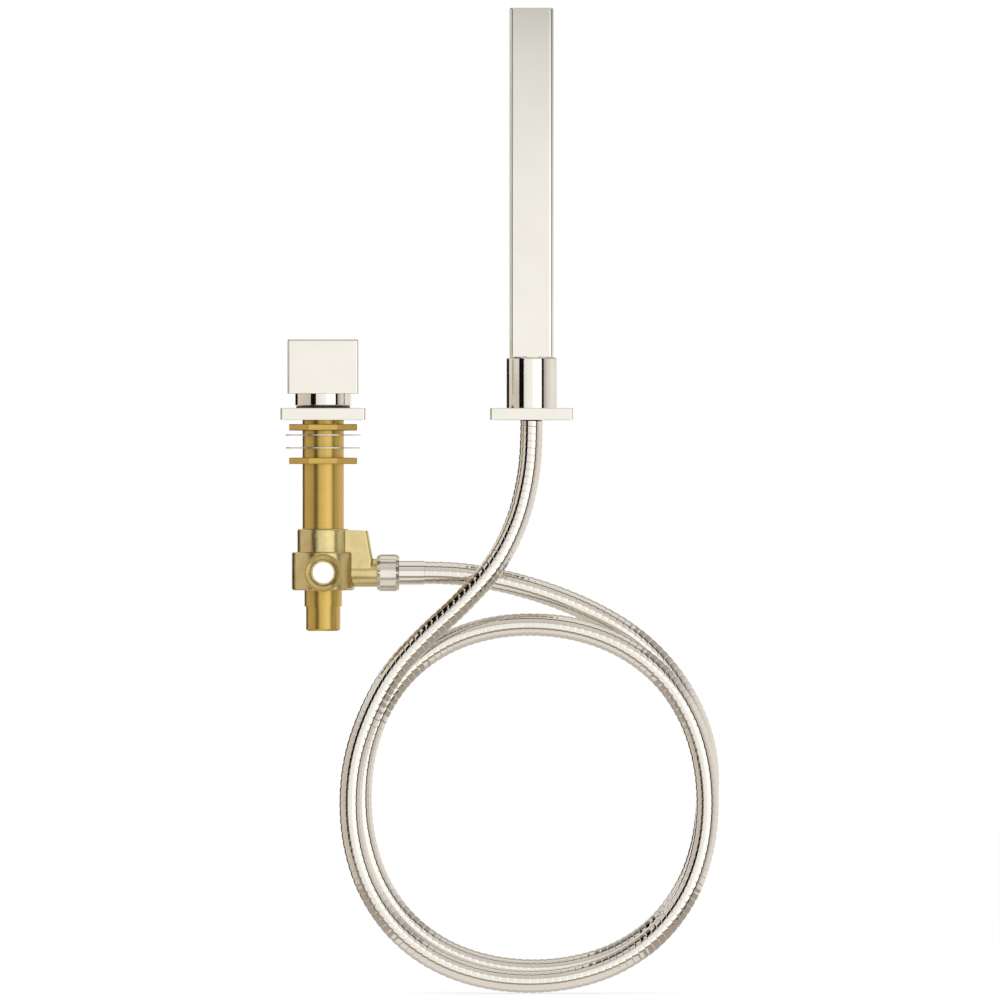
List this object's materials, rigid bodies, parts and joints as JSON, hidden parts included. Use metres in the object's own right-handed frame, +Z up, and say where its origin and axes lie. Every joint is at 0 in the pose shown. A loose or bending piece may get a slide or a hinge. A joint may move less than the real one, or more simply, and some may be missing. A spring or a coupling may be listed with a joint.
{
  "type": "deck-mounted hand shower set",
  "caption": "Deck-mounted hand shower set: square-knob diverter valve with brass body, coiled ribbed metal hose, and a rectangular stick hand shower standing in a round holder cup.",
  "frame": {"origin": "where the diverter valve's axis meets the deck's top surface, under the square cover plate", "axes": "+Z up out of the deck, +X from the valve towards the holder, -Y towards the user"},
  "size_m": [0.2684, 0.052, 0.6027],
  "materials": {
    "polished_nickel": "polished warm nickel plate",
    "hose_nickel": "polished warm nickel plate on a ribbed hose",
    "satin_nickel": "satin nickel",
    "hidden_nickel": "plain nickel plate",
    "cast_brass": "cast and tumbled, dull",
    "turned_brass": "bright turned brass",
    "plain_brass": "turned brass, hidden",
    "washer_steel": "stamped stainless steel",
    "dark_steel": "blackened steel",
    "black_plastic": "matt black",
    "black_rubber": "matt black rubber",
    "disc_ceramic": "lapped ceramic",
    "white_plastic": "natural white",
    "liner_plastic": "matt dark grey",
    "nozzle_rubber": "grey silicone"
  },
  "bodies": {
    "base": {"diverter_plate": "polished_nickel", "plate_o_ring": "black_rubber", "plate_lock_ring": "black_plastic", "spindle_bushing": "white_plastic", "threaded_shank": "turned_brass", "upper_locknut": "turned_brass", "upper_washer": "washer_steel", "valve_body": "cast_brass", "inlet_nipple": "turned_brass", "cartridge_housing": "plain_brass", "cartridge_o_ring": "black_rubber", "fixed_disc": "disc_ceramic", "disc_seal": "black_rubber", "valve_hose_nut": "satin_nickel", "valve_hose_washer": "black_rubber", "valve_hose_tail": "plain_brass", "valve_hose_ferrule": "polished_nickel", "shower_hose": "hose_nickel", "holder_plate": "polished_nickel", "holder_cup": "polished_nickel", "holder_liner": "liner_plastic", "holder_ring_nut": "plain_brass", "holder_gasket": "black_rubber"},
    "knob": {"diverter_knob": "polished_nickel", "knob_skirt": "polished_nickel", "knob_adaptor": "plain_brass", "knob_set_screw": "dark_steel", "spindle": "plain_brass", "spindle_o_ring": "black_rubber", "moving_disc": "disc_ceramic"},
    "clamp_washer": {"lower_washer": "washer_steel"},
    "clamp_nut": {"lower_locknut": "turned_brass"},
    "handset": {"handset_body": "polished_nickel", "handset_top_cap": "polished_nickel", "handset_base": "polished_nickel", "handset_base_seal": "black_rubber", "flow_restrictor": "white_plastic", "check_valve": "white_plastic", "water_tube": "plain_brass", "spray_manifold": "white_plastic", "spray_plate": "polished_nickel", "spray_nozzles": "nozzle_rubber", "handset_hose_nut": "hidden_nickel", "handset_hose_washer": "black_rubber", "handset_hose_tail": "plain_brass", "handset_hose_ferrule": "polished_nickel"}
  },
  "joints": [
    {"name": "knob_turn", "type": "hinge", "parent": "base", "child": "knob", "pos_m": [0, 0, 0], "axis": [0, 0, 1], "range_deg": [0, 90]},
    {"name": "clamp_travel", "type": "slide", "parent": "base", "child": "clamp_washer", "axis": [0, 0, 1], "range_m": [-0.0121, 0.0071]},
    {"name": "locknut_turn", "type": "hinge", "parent": "clamp_washer", "child": "clamp_nut", "pos_m": [0, 0, 0], "axis": [0, 0, 1], "range_deg": [-2880, 1680]},
    {"name": "handset_lift", "type": "slide", "parent": "base", "child": "handset", "axis": [0, 0, 1], "range_m": [0, 0.03], "deforming": ["shower_hose"]}
  ],
  "couplings": [
    {"joint": "clamp_travel", "follows": "locknut_turn", "m_per_rad": 0.00023873}
  ]
}
